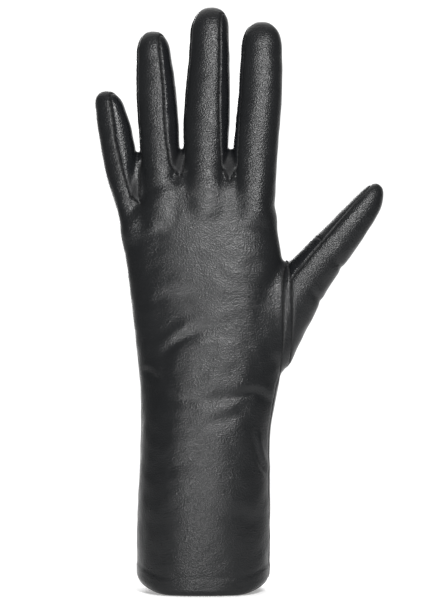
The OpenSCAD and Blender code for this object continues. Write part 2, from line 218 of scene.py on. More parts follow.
def field(p):
    """Distance from the surface of the glove before its seams and creases are pressed in."""
    x, y, z = p.T
    leaned = y - curl(z)
    fingers = np.full(len(p), FAR)
    for finger in FINGERS:
        near = (np.abs(x - np.interp(z, finger.heights, finger.x)) < FINGER_NEAR) & (z > finger.bottom - 8)
        here = fingers[near]
        fingers[near] = soft_min(here, finger.distance(x[near], leaned[near], z[near]), BETWEEN_FINGERS)
    for k, (web_x, web_z) in enumerate(WEBS):
        near = (np.abs(x - web_x) < WEB_NEAR) & (z > web_z - WEB_NEAR) & (z < web_z + ARCHES[k] + 8)
        fingers[near] = soft_min(fingers[near], web_distance(k, x[near], leaned[near], z[near]), TO_WEBS)
    body = np.full(len(p), FAR)
    near = z < TRUNK_BELOW
    top = np.interp(x[near], TRUNK_TOP_X, TRUNK_TOP_Z)
    body[near] = soft_max(TRUNK.distance(x[near], y[near], z[near]), z[near] - top, TRUNK_END)
    near = (x > THUMB_RIGHT_OF) & (z > THUMB_ABOVE)
    across, along = in_thumb(p[near])
    body[near] = soft_min(body[near], THUMB.distance(across, y[near], along), TO_THUMB)
    return soft_min(body, fingers, TO_FINGERS)


def slope_of(function, p, step=0.05):
    return np.stack([(function(p + step * e) - function(p - step * e)) / (2 * step) for e in np.eye(3)], 1)


# ---- the mesh of the whole skin ----

GRID_BOX = ((-64, 99), (-32, 32), (-5, 309))


def onto(p, level, rounds=3):
    """Moves points straight to the surface at a level of the field."""
    for _ in range(rounds):
        slope = slope_of(field, p)
        p = p - ((field(p) - level) / np.maximum((slope ** 2).sum(1), 0.2))[:, None] * slope
    return p


def relaxed(p, tris, level, rounds=4):
    """Evens out the triangles without leaving the surface."""
    edges = np.unique(np.sort(tris[:, [[0, 1], [1, 2], [2, 0]]].reshape(-1, 2), axis=1), axis=0)
    count = np.bincount(edges.ravel(), minlength=len(p))[:, None]
    loose = np.ones(len(p), bool)
    loose[p[:, 2] < GRID_BOX[2][0] + 3] = False
    for _ in range(rounds):
        total = np.zeros_like(p)
        np.add.at(total, edges[:, 0], p[edges[:, 1]])
        np.add.at(total, edges[:, 1], p[edges[:, 0]])
        moved = mix(p, total / np.maximum(count, 1), 0.5)
        p = np.where(loose[:, None], moved, p)
        p = onto(p, level, 1)
    return p


def skin_mesh(level, step):
    """The surface of the field at a level, as even triangles with sides of about one step."""
    axes = [np.arange(low, high, step) for low, high in GRID_BOX]
    shape = [len(a) for a in axes]
    value = np.empty(shape)
    for i, x in enumerate(axes[0]):
        yy, zz = np.meshgrid(axes[1], axes[2], indexing="ij")
        value[i] = field(np.stack([np.full(yy.size, x), yy.ravel(), zz.ravel()], 1)).reshape(yy.shape)
    inside = value < level
    corners = sum(inside[i:shape[0] - 1 + i, j:shape[1] - 1 + j, k:shape[2] - 1 + k].astype(np.int8)
                  for i in (0, 1) for j in (0, 1) for k in (0, 1))
    cells = np.argwhere((corners > 0) & (corners < 8))
    index = np.full(corners.shape, -1)
    index[tuple(cells.T)] = np.arange(len(cells))
    points = np.stack([axes[k][cells[:, k]] + step / 2 for k in range(3)], 1)
    quads = []
    for a in range(3):
        b, c = (a + 1) % 3, (a + 2) % 3
        change = np.diff(inside.astype(np.int8), axis=a)
        at = np.argwhere(change != 0)
        at = at[(at[:, b] > 0) & (at[:, c] > 0) & (at[:, b] < shape[b] - 1) & (at[:, c] < shape[c] - 1)]
        ring = []
        for db, dc in ((1, 1), (0, 1), (0, 0), (1, 0)):
            cell = at.copy()
            cell[:, b] -= db
            cell[:, c] -= dc
            ring.append(index[tuple(cell.T)])
        quad = np.stack(ring, 1)
        back = change[tuple(at.T)] > 0
        quad[back] = quad[back][:, ::-1]
        quads.append(quad)
    quads = np.vstack(quads)
    points = onto(points, level)
    across = np.linalg.norm(points[quads[:, 0]] - points[quads[:, 2]], axis=1)
    other = np.linalg.norm(points[quads[:, 1]] - points[quads[:, 3]], axis=1)
    turn = (other < across)[:, None]
    tris = np.vstack([np.where(turn, quads[:, [0, 1, 3]], quads[:, [0, 1, 2]]),
                      np.where(turn, quads[:, [1, 2, 3]], quads[:, [0, 2, 3]])])
    return relaxed(points, tris, level), tris


def normals_of(p, tris):
    a, b, c = p[tris[:, 0]], p[tris[:, 1]], p[tris[:, 2]]
    face = np.cross(b - a, c - a)
    total = np.zeros_like(p)
    for k in range(3):
        np.add.at(total, tris[:, k], face)
    return unit(total)


def along_skin(function, p, normal):
    """A function's value at each point in millimetres along the skin, and the way that it grows."""
    slope = slope_of(function, p)
    slope = slope - (slope * normal).sum(1)[:, None] * normal
    size = np.maximum(np.linalg.norm(slope, axis=1), 0.15)
    return function(p) / size, slope / size[:, None]


# How near a cut and a seam are measured, and the value beyond that
CUT_REACH, SEAM_REACH, CLEAR = 6, 7, 9.0


def cut(p, tris, function, offset=0.0, snap=0.22, level=0.0, fixed=None):
    """Splits the triangles along function = offset, so that a row of points lies on that line."""
    normal = normals_of(p, tris)
    near = np.abs(function(p) - offset) < CUT_REACH
    value = np.where(function(p) > offset, CLEAR, -CLEAR)
    way = np.zeros_like(p)
    value[near], way[near] = along_skin(function, p[near], normal[near])
    value[near] -= offset
    fixed = np.zeros(len(p), bool) if fixed is None else fixed
    snapped = (np.abs(value) < snap) & ~fixed
    p = p - np.where(snapped, value, 0)[:, None] * way
    value[snapped] = 0
    value[np.abs(value) < 1e-3] = 0
    sides = np.sign(value)
    pair = tris[:, [[0, 1], [1, 2], [2, 0]]]
    crossed = sides[pair[..., 0]] * sides[pair[..., 1]] < 0
    edges, where = np.unique(np.sort(pair[crossed], axis=1), axis=0, return_inverse=True)
    new_at = np.full(crossed.shape, -1)
    new_at[crossed] = len(p) + where.ravel()
    t = value[edges[:, 0]] / (value[edges[:, 0]] - value[edges[:, 1]])
    fresh = mix(p[edges[:, 0]], p[edges[:, 1]], t[:, None])
    fresh = onto(fresh, level, 1)
    p = np.vstack([p, fresh])
    fixed = np.concatenate([fixed | snapped, np.ones(len(fresh), bool)])
    count = crossed.sum(1)
    parts = [tris[count == 0]]
    for k in range(3):
        one = (count == 1) & crossed[:, k]
        i, j, o, m = tris[one, k], tris[one, (k + 1) % 3], tris[one, (k + 2) % 3], new_at[one, k]
        parts += [np.stack([i, m, o], 1), np.stack([m, j, o], 1)]
        both = (count == 2) & ~crossed[:, k]
        i, j, o = tris[both, k], tris[both, (k + 1) % 3], tris[both, (k + 2) % 3]
        m, n = new_at[both, (k + 1) % 3], new_at[both, (k + 2) % 3]
        parts += [np.stack([o, n, m], 1), np.stack([i, m, n], 1), np.stack([i, j, m], 1)]
    return p, np.vstack(parts), fixed


# ---- seams ----

# Seams beside the strips, as shares of a finger's half width from its middle, at some heights
STRIP_Z = (204, 212, 222, 233, 247, 257, 284)
THUMB_SIDE_SEAM = ((0.5, 0.22, 0.06, -0.06, 0.07, 0.2, 0.2),
                   (0.6, 0.6, 0.52, 0.37, 0.36, 0.39, 0.4),
                   (0.8, 0.8, 0.74, 0.64, 0.55, 0.53, 0.56))
FAR_SIDE_SEAM = ((1.05, 1.05, 1.05, 1.05, 1.05, 1.05, 1.05),
                 (0.9, 0.9, 0.93, 0.98, 1.0, 1.0, 1.0),
                 (0.76, 0.76, 0.76, 0.77, 0.84, 0.86, 0.87))
PALM_FRACTION = (0.9, 0.35)            # the same two on the palm, at every height
STRIP_FEET = ((-32.6, 196.2), (-12.9, 210.6), (12.8, 208.4))   # lowest point of each strip, x and z
CLIMB = (9, 12, 13)                    # height over which a seam leaves the foot of its strip
FOOT_FLARE, FOOT_ROUNDING = 0.7, 2.4


def strip(k):
    """Positive on the side strips between finger k and the next one."""
    def value(p):
        x, y, z = p.T
        left, right = FINGERS[k].section(z), FINGERS[k + 1].section(z)
        foot_x, foot_z = STRIP_FEET[k]
        palm, climb = smooth((y - curl(z) + 6) / 8), smooth((z - foot_z) / CLIMB[k])
        below = FOOT_FLARE * np.maximum(0, foot_z - z)
        near, far = eased(z, STRIP_Z, THUMB_SIDE_SEAM[k], 4), eased(z, STRIP_Z, FAR_SIDE_SEAM[k], 4)
        low = mix(foot_x, left[0] + left[1] * mix(near, PALM_FRACTION[0], palm), climb) + below
        high = mix(foot_x, right[0] - right[1] * mix(far, PALM_FRACTION[1], palm), climb) - below
        return soft_min(x - low, high - x, FOOT_ROUNDING)
    return value


SIDE_Z = (0, 83, 105, 112, 130, 160, 168, 178)
SIDE_X = (33.0, 33.0, 36.4, 38.8, 40.6, 39.9, 40.9, 48)


def side(p):
    """Negative on the back panel, positive on the palm panel."""
    return np.maximum(p[:, 1] - curl(p[:, 2]) - 1, p[:, 0] - eased(p[:, 2], SIDE_Z, SIDE_X, 4))


THUMB_SEAM_Z = (110, 114, 122, 140, 163, 172)
THUMB_SEAM_BACK = (42.2, 43.2, 44.6, 45.3, 43.9, 42.5)
THUMB_SEAM_PALM = (42.2, 39.5, 36.0, 33.0, 37.0, 42.5)


def thumb_hole(p):
    """Positive on the thumb."""
    x, y, z = p.T
    edge = mix(eased(z, THUMB_SEAM_Z, THUMB_SEAM_BACK, 3), eased(z, THUMB_SEAM_Z, THUMB_SEAM_PALM, 3),
               smooth((y + 3) / 12))
    return np.minimum(x - edge, z - THUMB_SEAM_Z[0])


THUMB_LINE = -12.2                     # across the thumb, where its side seam runs
GUSSET_END = 41                        # how far along the thumb the gusset reaches


def thumb_side(p):
    """Negative on the thumb's outer panel, positive on its inner panel."""
    across, _ = in_thumb(p)
    return np.maximum(p[:, 1] - 2, THUMB_LINE - across)


def gusset(p):
    """Positive on the small three-cornered piece at the crotch of the thumb."""
    across, along = in_thumb(p)
    return np.minimum(np.minimum(THUMB_LINE - across, GUSSET_END - along), -p[:, 1])


# ---- where the skin is divided into pieces, each around one joint ----

TRUNK_SPLIT = 150.0
WRIST_BEND = (78.0, 114.0)
KNUCKLE_BEND = (-20.0, 14.0)
THUMB_BEND = (np.array((48.0, 0, 166.0)), np.array((64.0, 0, 178.0)))
FINGER_REACH = 12.0                    # longest half length of a finger's bend
SPLIT_GAP = 0.5                        # from the end of a bend to the nearest division
ELSEWHERE = -20                        # a split's value where it doesn't apply


def pivot(name):
    return np.array(JOINTS[name]["pos_m"]) / MM


class FingerBends:
    """The two bending stretches of a finger, and the places where its skin is divided."""

    def __init__(self, name):
        first, second = pivot(name + "_first"), pivot(name + "_second")
        self.first, self.way = first, unit(second - first)
        self.length = float(np.linalg.norm(second - first))
        reach = min(FINGER_REACH, self.length / 2 - SPLIT_GAP)
        self.root, self.middle = -reach - SPLIT_GAP, self.length / 2
        self.first_bend = (first - reach * self.way, first + reach * self.way)
        self.second_bend = (second - reach * self.way, second + reach * self.way)

    def along(self, p):
        return (p - self.first) @ self.way


BENDS = [FingerBends(name) for name in FINGER_NAMES]


def finger_of(p):
    """The finger that a point is nearest to."""
    x, _, z = p.T
    gap = [np.abs(x - f.section(z)[0]) / f.section(z)[1] + 3 * (z > f.top + 1.5) for f in FINGERS]
    return np.argmin(gap, 0)


def along_finger(p, starts):
    """How far each point is along the nearest finger, past that finger's own start."""
    every = np.stack([b.along(p) - start for b, start in zip(BENDS, starts)])
    return np.where(thumb_hole(p) > 0, ELSEWHERE, every[finger_of(p), np.arange(len(p))])


def root_split(p):
    return along_finger(p, [b.root for b in BENDS])


def middle_split(p):
    return along_finger(p, [b.middle for b in BENDS])


THUMB_SPLIT_WAY = unit(THUMB_BEND[1] - THUMB_BEND[0])


def thumb_split(p):
    value = (p - THUMB_BEND[1]) @ THUMB_SPLIT_WAY - SPLIT_GAP
    return np.where(thumb_hole(p) > 0, value, ELSEWHERE)


def trunk_split(p):
    return np.where(thumb_hole(p) > 0, ELSEWHERE, p[:, 2] - TRUNK_SPLIT)


HEM_MIDDLE, HEM_FLAT, HEM_SIDE, HEM_RISE = -0.8, 17, 17.5, 6.5


def hem_line(p):
    """Height above the hem, which rises at the two sides."""
    rise = HEM_RISE * np.maximum(0, (np.abs(p[:, 0] - HEM_MIDDLE) - HEM_FLAT) / HEM_SIDE) ** 2
    return p[:, 2] - rise


SPLITS = (trunk_split, root_split, middle_split, thumb_split)


# ---- seams, creases and folds pressed into the skin ----

SEAM_EDGE = 0.8                        # half the width of the groove along a seam
GROOVE, DARK_LINE = 0.5, 0.55          # how wide the groove and its darker line are
SWELL_AT, SWELL_WIDTH, SWELL = 2.2, 1.1, 0.05      # the leather rises a little beside a seam
PUCKER, PUCKER_LENGTH = 0.3, 2.6       # how much a seam varies between its stitches, and how often
STRIP_EDGE, THUMB_EDGE = 1.5, 1.2      # over what width a seam ends at another
FOOT_PAINTED_SHADE = (0.85, 22, 12)            # painted shade in the colour, and rougher leather, at the foot of a strip: amount, height, fading
DOME_MIDDLE, DOME_SIZE, DOME_RISE = (3, 114), (22, 17), 0.6        # the patch that stands up over the wrist
THUMB_FOLDS, THUMB_FOLD_WIDTH, THUMB_FOLD_DEPTH = (17.0, 37.0), 1.9, 0.6
SWELLS = ((0.22, 5, 26, 16, 46), (0.10, 8, 30, 6, 14))     # rise, seed, count, shortest, longest
HEM_ROLL, HEM_DROP = 3.2, 2.0          # height of the rolled edge, and how far it turns in
HEM_TOP, HEM_THICKER = 9.0, 0.18       # where the leather is doubled, and how much that shows
HEM_LINE_AT, HEM_LINE_WIDTH, HEM_LINE = 9.2, 0.8, 0.06     # the faint line over the doubled leather


def wave(p, seed, count, shortest, longest):
    """Soft unevenness, about -1 to 1, with swells between two lengths."""
    rng = np.random.default_rng(seed)
    total = np.zeros(len(p))
    for _ in range(count):
        way = unit(rng.normal(size=3)) * 2 * math.pi / rng.uniform(shortest, longest)
        total += np.sin(p @ way + rng.uniform(0, 2 * math.pi))
    return total / math.sqrt(count) / 1.4


# On the back or the palm: start x, z, end x, z, bow, width, depth
BACK_CREASES = (
    (-22, 122, 8, 137, 2.5, 2.8, 0.5), (-14, 99, 27, 104, -2.5, 2.8, 0.5),
    (-2, 86, 24, 97, -2.0, 3.0, 0.4), (21, 103, 35, 96, 1.5, 3.0, 0.7),
    (-34, 114, -24, 108, 1.5, 2.4, 0.5),
    (-30, 148, 4, 152, 2.5, 4.0, 0.2), (25, 82, 33, 60, -2.0, 1.6, 0.8),
    (8, 160, 34, 157, -2.0, 4.0, 0.2), (-30, 62, -8, 66, 2.0, 5.0, 0.3), (2, 44, 28, 38, -2.0, 5.0, 0.25),
)
PALM_CREASES = (
    (-34, 178, 30, 192, 5, 2.0, 0.8), (-30, 162, 22, 176, 6, 2.4, 0.6), (26, 168, 4, 122, 7, 2.4, 0.8),
    (-32, 104, 30, 108, 3, 2.2, 0.8), (-28, 92, 30, 94, -2, 2.6, 0.6), (-26, 120, 6, 112, 3, 2.6, 0.5),
    (-20, 60, 26, 66, 3, 4.0, 0.3),
)


def creases(p, rows, facing):
    """Folds with a valley and a low ridge above it."""
    x, _, z = p.T
    total = np.zeros(len(p))
    for x0, z0, x1, z1, bow, width, depth in rows:
        run = math.hypot(x1 - x0, z1 - z0)
        wx, wz = (x1 - x0) / run, (z1 - z0) / run
        t = ((x - x0) * wx + (z - z0) * wz) / run
        off = (z - z0) * wx - (x - x0) * wz - bow * 4 * t * (1 - t)
        fade = smooth((t + 0.15) / 0.4) * smooth((1.15 - t) / 0.4)
        ridge, valley = np.exp(-((off - 1.7 * width) / width) ** 2), np.exp(-(off / width) ** 2)
        total += depth * fade * (0.55 * ridge - valley)
    return total * facing


def seams_of(p):
    """Each seam as its function, where it is sewn, and how deep it lies."""
    strips = [strip(k) for k in range(3)]
    off_strips = np.ones(len(p))
    for s in strips:
        off_strips *= smooth(-s(p) / STRIP_EDGE + 0.5)
    hole, half = thumb_hole(p), thumb_side(p)
    on_thumb = smooth(hole / THUMB_EDGE)
    rows = [(s, np.ones(len(p)), 0.5) for s in strips]
    rows.append((side, off_strips * smooth(-hole / THUMB_EDGE), 0.4))
    rows.append((thumb_hole, np.ones(len(p)), 0.45))
    rows.append((thumb_side, on_thumb, 0.5))
    rows.append((gusset, on_thumb * smooth(half / THUMB_EDGE), 0.4))
    return rows


def seam_relief(p, normal):
    """Grooves along the seams with the leather puckered beside them, and how close a point is to one, with
    painted shade added at the foot of each side strip.
    """
    x, _, z = p.T
    move, seam = np.zeros(len(p)), np.zeros(len(p))
    pucker = 1 + PUCKER * np.cos(2 * math.pi * (z + 0.35 * x) / PUCKER_LENGTH)
    for function, sewn, depth in seams_of(p):
        near = (np.abs(function(p)) < SEAM_REACH) & (sewn > 0.01)
        d = np.full(len(p), CLEAR)
        d[near] = along_skin(function, p[near], normal[near])[0]
        d = np.abs(d)
        groove = np.exp(-(d / GROOVE) ** 2) * pucker
        shoulder = np.exp(-((d - SWELL_AT) / SWELL_WIDTH) ** 2) * (1.5 - 0.5 * pucker)
        move += sewn * (SWELL * shoulder - depth * groove)
        seam = np.maximum(seam, sewn * np.exp(-(d / DARK_LINE) ** 2))
    # Painted shade: the crotch at the foot of each side strip, where the fingers shade it, is darkened in
    # colour and made rougher
    amount, height, fading = FOOT_PAINTED_SHADE
    for k, (_, foot_z) in enumerate(STRIP_FEET):
        shade = smooth(strip(k)(p) / 1.6) * smooth((foot_z + height - z) / fading)
        seam = np.maximum(seam, amount * shade)
    return move, seam


def hem_relief(p):
    """The doubled leather of the hem and its rolled lower edge."""
    up = hem_line(p)
    roll = np.clip((HEM_ROLL - up) / HEM_ROLL, 0, 1)
    doubled = HEM_THICKER * smooth((HEM_TOP - up) / 2.2)
    doubled = doubled - HEM_LINE * np.exp(-((up - HEM_LINE_AT) / HEM_LINE_WIDTH) ** 2)
    return doubled - HEM_DROP * (1 - np.sqrt(1 - 0.96 * roll ** 2))


def pressed(p, normal):
    """How far each point moves along its normal, and how close it is to the seams or how deep in the painted
    shade at a strip's foot, from 0 to 1.
    """
    x, y, z = p.T
    move, seam = seam_relief(p, normal)
    back, palm = smooth(-normal[:, 1] * 1.6), smooth(normal[:, 1] * 1.6)
    on_trunk = smooth((206 - z) / 12) * smooth((44 - x) / 6)
    move += creases(p, BACK_CREASES, back * on_trunk) + creases(p, PALM_CREASES, palm * on_trunk)
    dome = np.hypot((x - DOME_MIDDLE[0]) / DOME_SIZE[0], (z - DOME_MIDDLE[1]) / DOME_SIZE[1])
    move += DOME_RISE * smooth((1.15 - dome) / 0.35) * smooth((z - 98) / 12) * back
    (large, *large_wave), (small, *small_wave) = SWELLS
    move += large * wave(p, *large_wave) * on_trunk * smooth((z - 6) / 10)
    move += small * wave(p, *small_wave)
    across, along = in_thumb(p)
    for place in THUMB_FOLDS:
        fold = smooth((across + 3) / 8) * np.exp(-((along - place) / THUMB_FOLD_WIDTH) ** 2)
        move -= THUMB_FOLD_DEPTH * fold * smooth((x - 46) / 4)
    return move + hem_relief(p), seam


# ---- pieces ----

ZONES = ("cuff", "knuckle", *(f"{n}_mid" for n in FINGER_NAMES), *(f"{n}_tip" for n in FINGER_NAMES),
         "thumb_base", "thumb_tip")
THUMB_ZONE = ZONES.index("thumb_base")


def zone_of(p):
    finger = finger_of(p)
    zone = np.where(trunk_split(p) < 0, 0, 1)
    zone = np.where((zone == 1) & (root_split(p) > 0), 2 + finger, zone)
    zone = np.where((zone >= 2) & (middle_split(p) > 0), 6 + finger, zone)
    return np.where(thumb_hole(p) > 0, np.where(thumb_split(p) > 0, THUMB_ZONE + 1, THUMB_ZONE), zone)


PANELS = ("back", "palm", "strip0", "strip1", "strip2", "outer", "inner", "gusset")


def panel_of(p):
    panel = np.where(side(p) < 0, 0, 1)
    for k in range(3):
        panel = np.where(strip(k)(p) > 0, 2 + k, panel)
    thumb = np.where(thumb_side(p) < 0, 5, np.where(gusset(p) > 0, 7, 6))
    return np.where(thumb_hole(p) > 0, thumb, panel)


def stands_for(zone, panel):
    """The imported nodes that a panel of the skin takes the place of."""
    name, part = ZONES[zone], PANELS[panel]
    if name == "cuff":
        return [f"cuff_{part}", f"hand_{part}"]
    if name == "knuckle":
        forks = {"strip0": "fork_ring_little", "strip1": "fork_middle_ring", "strip2": "fork_index_middle"}
        return [forks.get(part, f"knuckle_{part}")]
    if name.startswith("thumb"):
        return ["thumb_gusset"] if part == "gusset" else [f"{name}_{part}"]
    if part.startswith("strip"):
        finger = (zone - 2) % 4
        return [name + ("_fourchette_right" if int(part[-1]) == finger else "_fourchette_left")]
    return [f"{name}_{part}"]


def bend(obj, zone):
    """Bakes a piece's transform into its mesh; the ends of the bend at the one joint that its zone crosses
    are worked out, but nothing uses them.
    """
    name = ZONES[zone]
    if name == "cuff":
        ends = [(0, 0, z) for z in WRIST_BEND]
    elif name == "knuckle":
        axis = np.array(JOINTS["knuckle_bend"]["axis"])
        way = unit(np.array((axis[2], 0, -axis[0])))
        ends = [pivot("knuckle_bend") + reach * way for reach in KNUCKLE_BEND]
    elif name == "thumb_base":
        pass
    elif name == "thumb_tip":
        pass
    else:
        bends = BENDS[(zone - 2) % 4]
        tip = name.endswith("tip")
        ends = bends.second_bend if tip else bends.first_bend
    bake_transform(obj)


def new_object(name, points, faces, material, attributes=None, sharp=50):
    mesh = bpy.data.meshes.new(name)
    mesh.from_pydata((np.asarray(points) * MM).tolist(), [], [tuple(int(i) for i in f) for f in faces])
    for key, values in (attributes or {}).items():
        mesh.attributes.new(key, "FLOAT", "POINT").data.foreach_set("value", np.asarray(values, np.float32))
    mesh.polygons.foreach_set("use_smooth", [True] * len(mesh.polygons))
    mesh.set_sharp_from_angle(angle=math.radians(sharp))
    mesh.materials.append(material)
    mesh.validate()
    obj = bpy.data.objects.new(name, mesh)
    bpy.context.scene.collection.objects.link(obj)
    return obj


def open_edges(tris):
    """The edges that only one triangle has, in that triangle's direction."""
    edges = tris[:, [[0, 1], [1, 2], [2, 0]]].reshape(-1, 2)
    _, first, count = np.unique(np.sort(edges, axis=1), axis=0, return_index=True, return_counts=True)
    return edges[first[count == 1]]


def shell_piece(name, outer, inner, tris, material, attributes):
    """A closed piece of leather between its outer and its inner face."""
    used, local = np.unique(tris, return_inverse=True)
    local = local.reshape(tris.shape)
    n = len(used)
    rim = open_edges(local)
    faces = [local, local[:, ::-1] + n]
    faces += [np.stack([rim[:, 1], rim[:, 0], rim[:, 0] + n], 1),
              np.stack([rim[:, 1], rim[:, 0] + n, rim[:, 1] + n], 1)]
    points = np.vstack([outer[used], inner[used]])
    doubled = {key: np.concatenate([values[used]] * 2) for key, values in attributes.items()}
    return new_object(name, points, np.vstack(faces), material, doubled)


# ---- materials ----

class Link:
    """A shader socket that can be used in sums; each sum adds a Math node."""

    def __init__(self, shader, socket):
        self.shader, self.socket = shader, socket

    def _math(self, operation, *values):
        return self.shader.node("ShaderNodeMath", {"operation": operation}, dict(enumerate(values))).out(0)

    def __add__(self, other):
        return self._math("ADD", self, other)

    def __radd__(self, other):
        return self._math("ADD", other, self)

    def __sub__(self, other):
        return self._math("SUBTRACT", self, other)

    def __rsub__(self, other):
        return self._math("SUBTRACT", other, self)

    def __mul__(self, other):
        return self._math("MULTIPLY", self, other)

    def __rmul__(self, other):
        return self._math("MULTIPLY", other, self)


class Made:
    """A node that was added, for reading its outputs."""

    def __init__(self, shader, node):
        self.shader, self.made = shader, node

    def out(self, key):
        return Link(self.shader, self.made.outputs[key])


class Shader:
    """A material's nodes."""

    def __init__(self, name):
        self.material = bpy.data.materials.new(name)
        self.material.use_nodes = True
        self.tree = self.material.node_tree
        self.surface = self.tree.nodes["Principled BSDF"]

    def node(self, kind, settings=None, inputs=None):
        node = self.tree.nodes.new(kind)
        for key, value in (settings or {}).items():
            setattr(node, key, value)
        for key, value in (inputs or {}).items():
            self.put(node.inputs[key], value)
        return Made(self, node)

    def put(self, socket, value):
        if isinstance(value, Link):
            self.tree.links.new(value.socket, socket)
        else:
            socket.default_value = value

    def set(self, **values):
        for key, value in values.items():
            self.put(self.surface.inputs[key.replace("_", " ")], value)

    def blend_colors(self, amount, a, b):
        made = self.node("ShaderNodeMix", {"data_type": "RGBA"}, {0: amount, 6: a, 7: b})
        return made.out(2)

    def where(self, scale):
        """Places on the object, stretched by a scale for each axis."""
        place = self.node("ShaderNodeTexCoord").out("Object")
        return self.node("ShaderNodeVectorMath", {"operation": "MULTIPLY"}, {0: place, 1: scale}).out(0)

    def noise(self, size, detail=2.0, rough=0.5, stretch=(1, 1, 1)):
        scale = [s / (size * MM) for s in stretch]
        return self.node("ShaderNodeTexNoise", {}, {"Vector": self.where(scale), "Scale": 1.0,
                                                    "Detail": detail, "Roughness": rough}).out(0)

    def pebbles(self, size, stretch=(1, 1, 1)):
        scale = [s / (size * MM) for s in stretch]
        return self.node("ShaderNodeTexVoronoi", {"feature": "SMOOTH_F1"}, {
            "Vector": self.where(scale), "Scale": 1.0, "Smoothness": 0.6, "Randomness": 1.0}).out(0)

    def bump(self, height, depth, strength=1.0):
        return self.node("ShaderNodeBump", {}, {"Height": height, "Distance": depth * MM,
                                                "Strength": strength}).out(0)


def rgba(color, shade=1.0):
    return (color[0] * shade, color[1] * shade, color[2] * shade, 1.0)


def nappa(name, color, roughness, grain):
    """Smooth dyed nappa: fine pebbled grain, soft sheen, darker in the seams, with painted shade at the feet
    of the side strips.
    """
    s = Shader(name)
    seam = s.node("ShaderNodeAttribute", {"attribute_name": "seam"}).out("Fac")
    pebble = s.pebbles(0.75, (1, 1, 1.15))
    fine = s.noise(0.55, 3.0, 0.6)
    cloud = s.noise(22, 3.0, 0.55)
    lines = s.noise(2.2, 2.0, 0.5, (0.35, 0.35, 1.6))
    tone = s.blend_colors(cloud, rgba(color, 0.86), rgba(color, 1.2))
    # Darker along the seams, and painted shade at the feet of the side strips, both read from the one
    # attribute
    tone = s.blend_colors(seam * 0.75, tone, rgba(color, 0.25))
    height = pebble * 0.75 + fine * 0.35 + lines * 0.4
    s.set(Base_Color=tone, Roughness=roughness + cloud * 0.1 - pebble * 0.08 + seam * 0.45,
          Normal=s.bump(height, 0.19 * grain), Specular_IOR_Level=0.23)
    return s.material


def knit_lining(color):
    """Fine knitted lining with rows of stitches."""
    s = Shader("tan knit lining")
    rib = s.node("ShaderNodeTexWave", {"wave_type": "BANDS", "bands_direction": "X"}, {
        "Vector": s.where((900, 900, 900)), "Scale": 1.0, "Distortion": 0.6}).out(1)
    row = s.node("ShaderNodeTexWave", {"wave_type": "BANDS", "bands_direction": "Z"}, {
        "Vector": s.where((700, 700, 700)), "Scale": 1.0, "Distortion": 0.6}).out(1)
    weave = rib * 0.6 + row * 0.4
    s.set(Base_Color=s.blend_colors(weave, rgba(color, 0.55), rgba(color, 1.15)),
          Roughness=0.85 + weave * 0.1, Normal=s.bump(weave, 0.25), Sheen_Weight=0.3)
    return s.material


def sewing_thread(color):
    """Twisted sewing thread with a slight wax shine."""
    s = Shader("waxed sewing thread")
    twist = s.node("ShaderNodeTexWave", {"wave_type": "BANDS", "bands_direction": "DIAGONAL"}, {
        "Vector": s.where((1800, 1800, 1800)), "Scale": 1.0}).out(1)
    s.set(Base_Color=s.blend_colors(twist, rgba(color, 0.5), rgba(color, 1.5)), Roughness=0.7 + twist * 0.15,
          Normal=s.bump(twist, 0.05))
    return s.material


def studio_floor():
    """Matt white sweep."""
    s = Shader("white studio sweep")
    speck = s.noise(60, 2.0, 0.5)
    s.set(Base_Color=s.blend_colors(speck, (0.86, 0.86, 0.86, 1), (0.9, 0.9, 0.9, 1)), Roughness=0.8,
          Emission_Color=(1, 1, 1, 1), Emission_Strength=0.3)
    return s.material


# ---- settings ----

class GloveSizes(bpy.types.PropertyGroup):
    mesh_step: bpy.props.FloatProperty(
        name="Mesh step", description="Side of the skin's triangles", default=0.9 * MM, unit="LENGTH")
    leather: bpy.props.FloatProperty(
        name="Leather", description="Thickness of the leather", default=0.8 * MM, unit="LENGTH")
    lining: bpy.props.FloatProperty(
        name="Lining", description="Thickness of the lining", default=0.5 * MM, unit="LENGTH")
    hem_height: bpy.props.FloatProperty(
        name="Hem", description="Height of the turned hem", default=8 * MM, unit="LENGTH")
    stitch_pitch: bpy.props.FloatProperty(
        name="Stitch pitch", description="Distance from one stitch to the next",
        default=2.4 * MM, unit="LENGTH")
    grain: bpy.props.FloatProperty(
        name="Grain", description="Depth of the leather's grain, as a share of the usual",
        default=1.0, subtype="FACTOR")
    roughness: bpy.props.FloatProperty(
        name="Roughness", description="Roughness of the leather's finish", default=0.3, subtype="FACTOR")


class GloveColors(bpy.types.PropertyGroup):
    leather: bpy.props.FloatVectorProperty(
        name="Leather", description="Colour of the leather",
        default=(0.0058, 0.0062, 0.0067), subtype="COLOR")
    strips: bpy.props.FloatVectorProperty(
        name="Side strips", description="Colour of the strips between the fingers",
        default=(0.0042, 0.0046, 0.0054), subtype="COLOR")
    lining: bpy.props.FloatVectorProperty(
        name="Lining", description="Colour of the knitted lining", default=(0.36, 0.2, 0.1), subtype="COLOR")
    thread: bpy.props.FloatVectorProperty(
        name="Thread", description="Colour of the sewing thread",
        default=(0.005, 0.005, 0.0055), subtype="COLOR")


# ---- operators ----

SNAP = 0.26                            # points this near a cut move onto it, as a share of the mesh step
SEAM_SNAP = 0.12                       # the same beside a seam, in millimetres
FEWEST_TRIANGLES = 12                  # smaller scraps are left out


